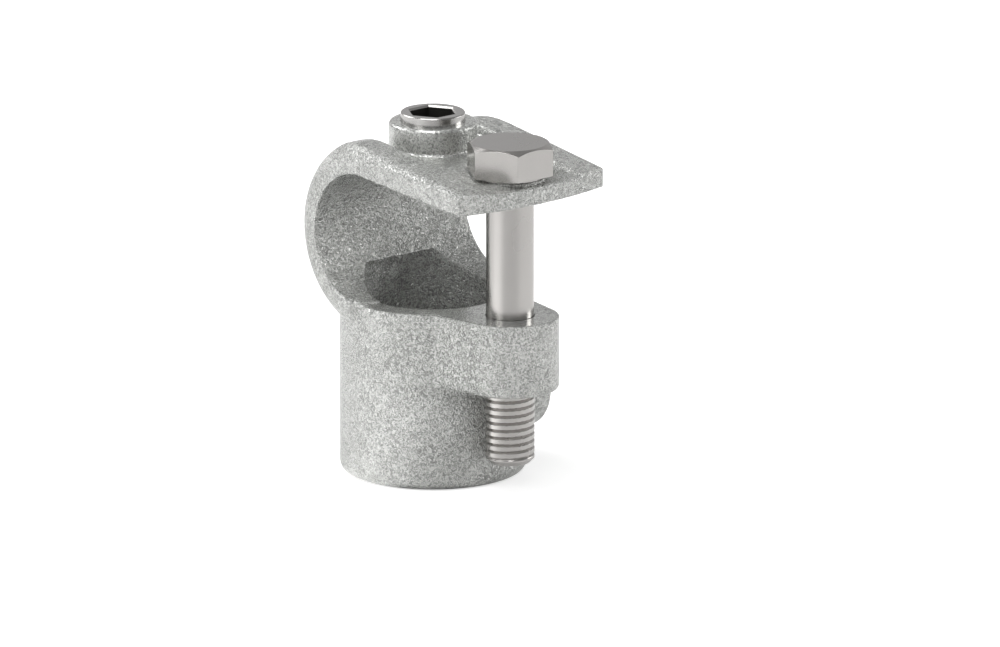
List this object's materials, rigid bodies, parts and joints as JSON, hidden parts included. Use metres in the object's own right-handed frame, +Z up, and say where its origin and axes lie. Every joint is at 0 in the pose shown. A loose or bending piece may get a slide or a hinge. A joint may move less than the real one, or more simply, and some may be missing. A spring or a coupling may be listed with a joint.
{
  "type": "tube clamp tee fitting",
  "caption": "Cast tube clamp tee: a hook-shaped collar closed over a rail by a hex bolt, with a socket for a post below, each tube locked by a socket set screw.",
  "frame": {"origin": "where the rail axis and the post axis cross, in the middle of the collar", "axes": "+X along the rail, +Z up the post axis towards the rail screw, open side and bolt on -Y"},
  "size_m": [0.0442, 0.0544, 0.0748],
  "materials": {
    "galvanised_casting": "hot-dip galvanised, fine cast grain",
    "bolt_steel": "zinc plated, satin",
    "screw_steel": "galvanised, satin"
  },
  "bodies": {
    "root": {"casting": "galvanised_casting", "clamp_bolt": "bolt_steel", "rail_set_screw": "screw_steel", "post_set_screw": "screw_steel"}
  },
  "joints": []
}
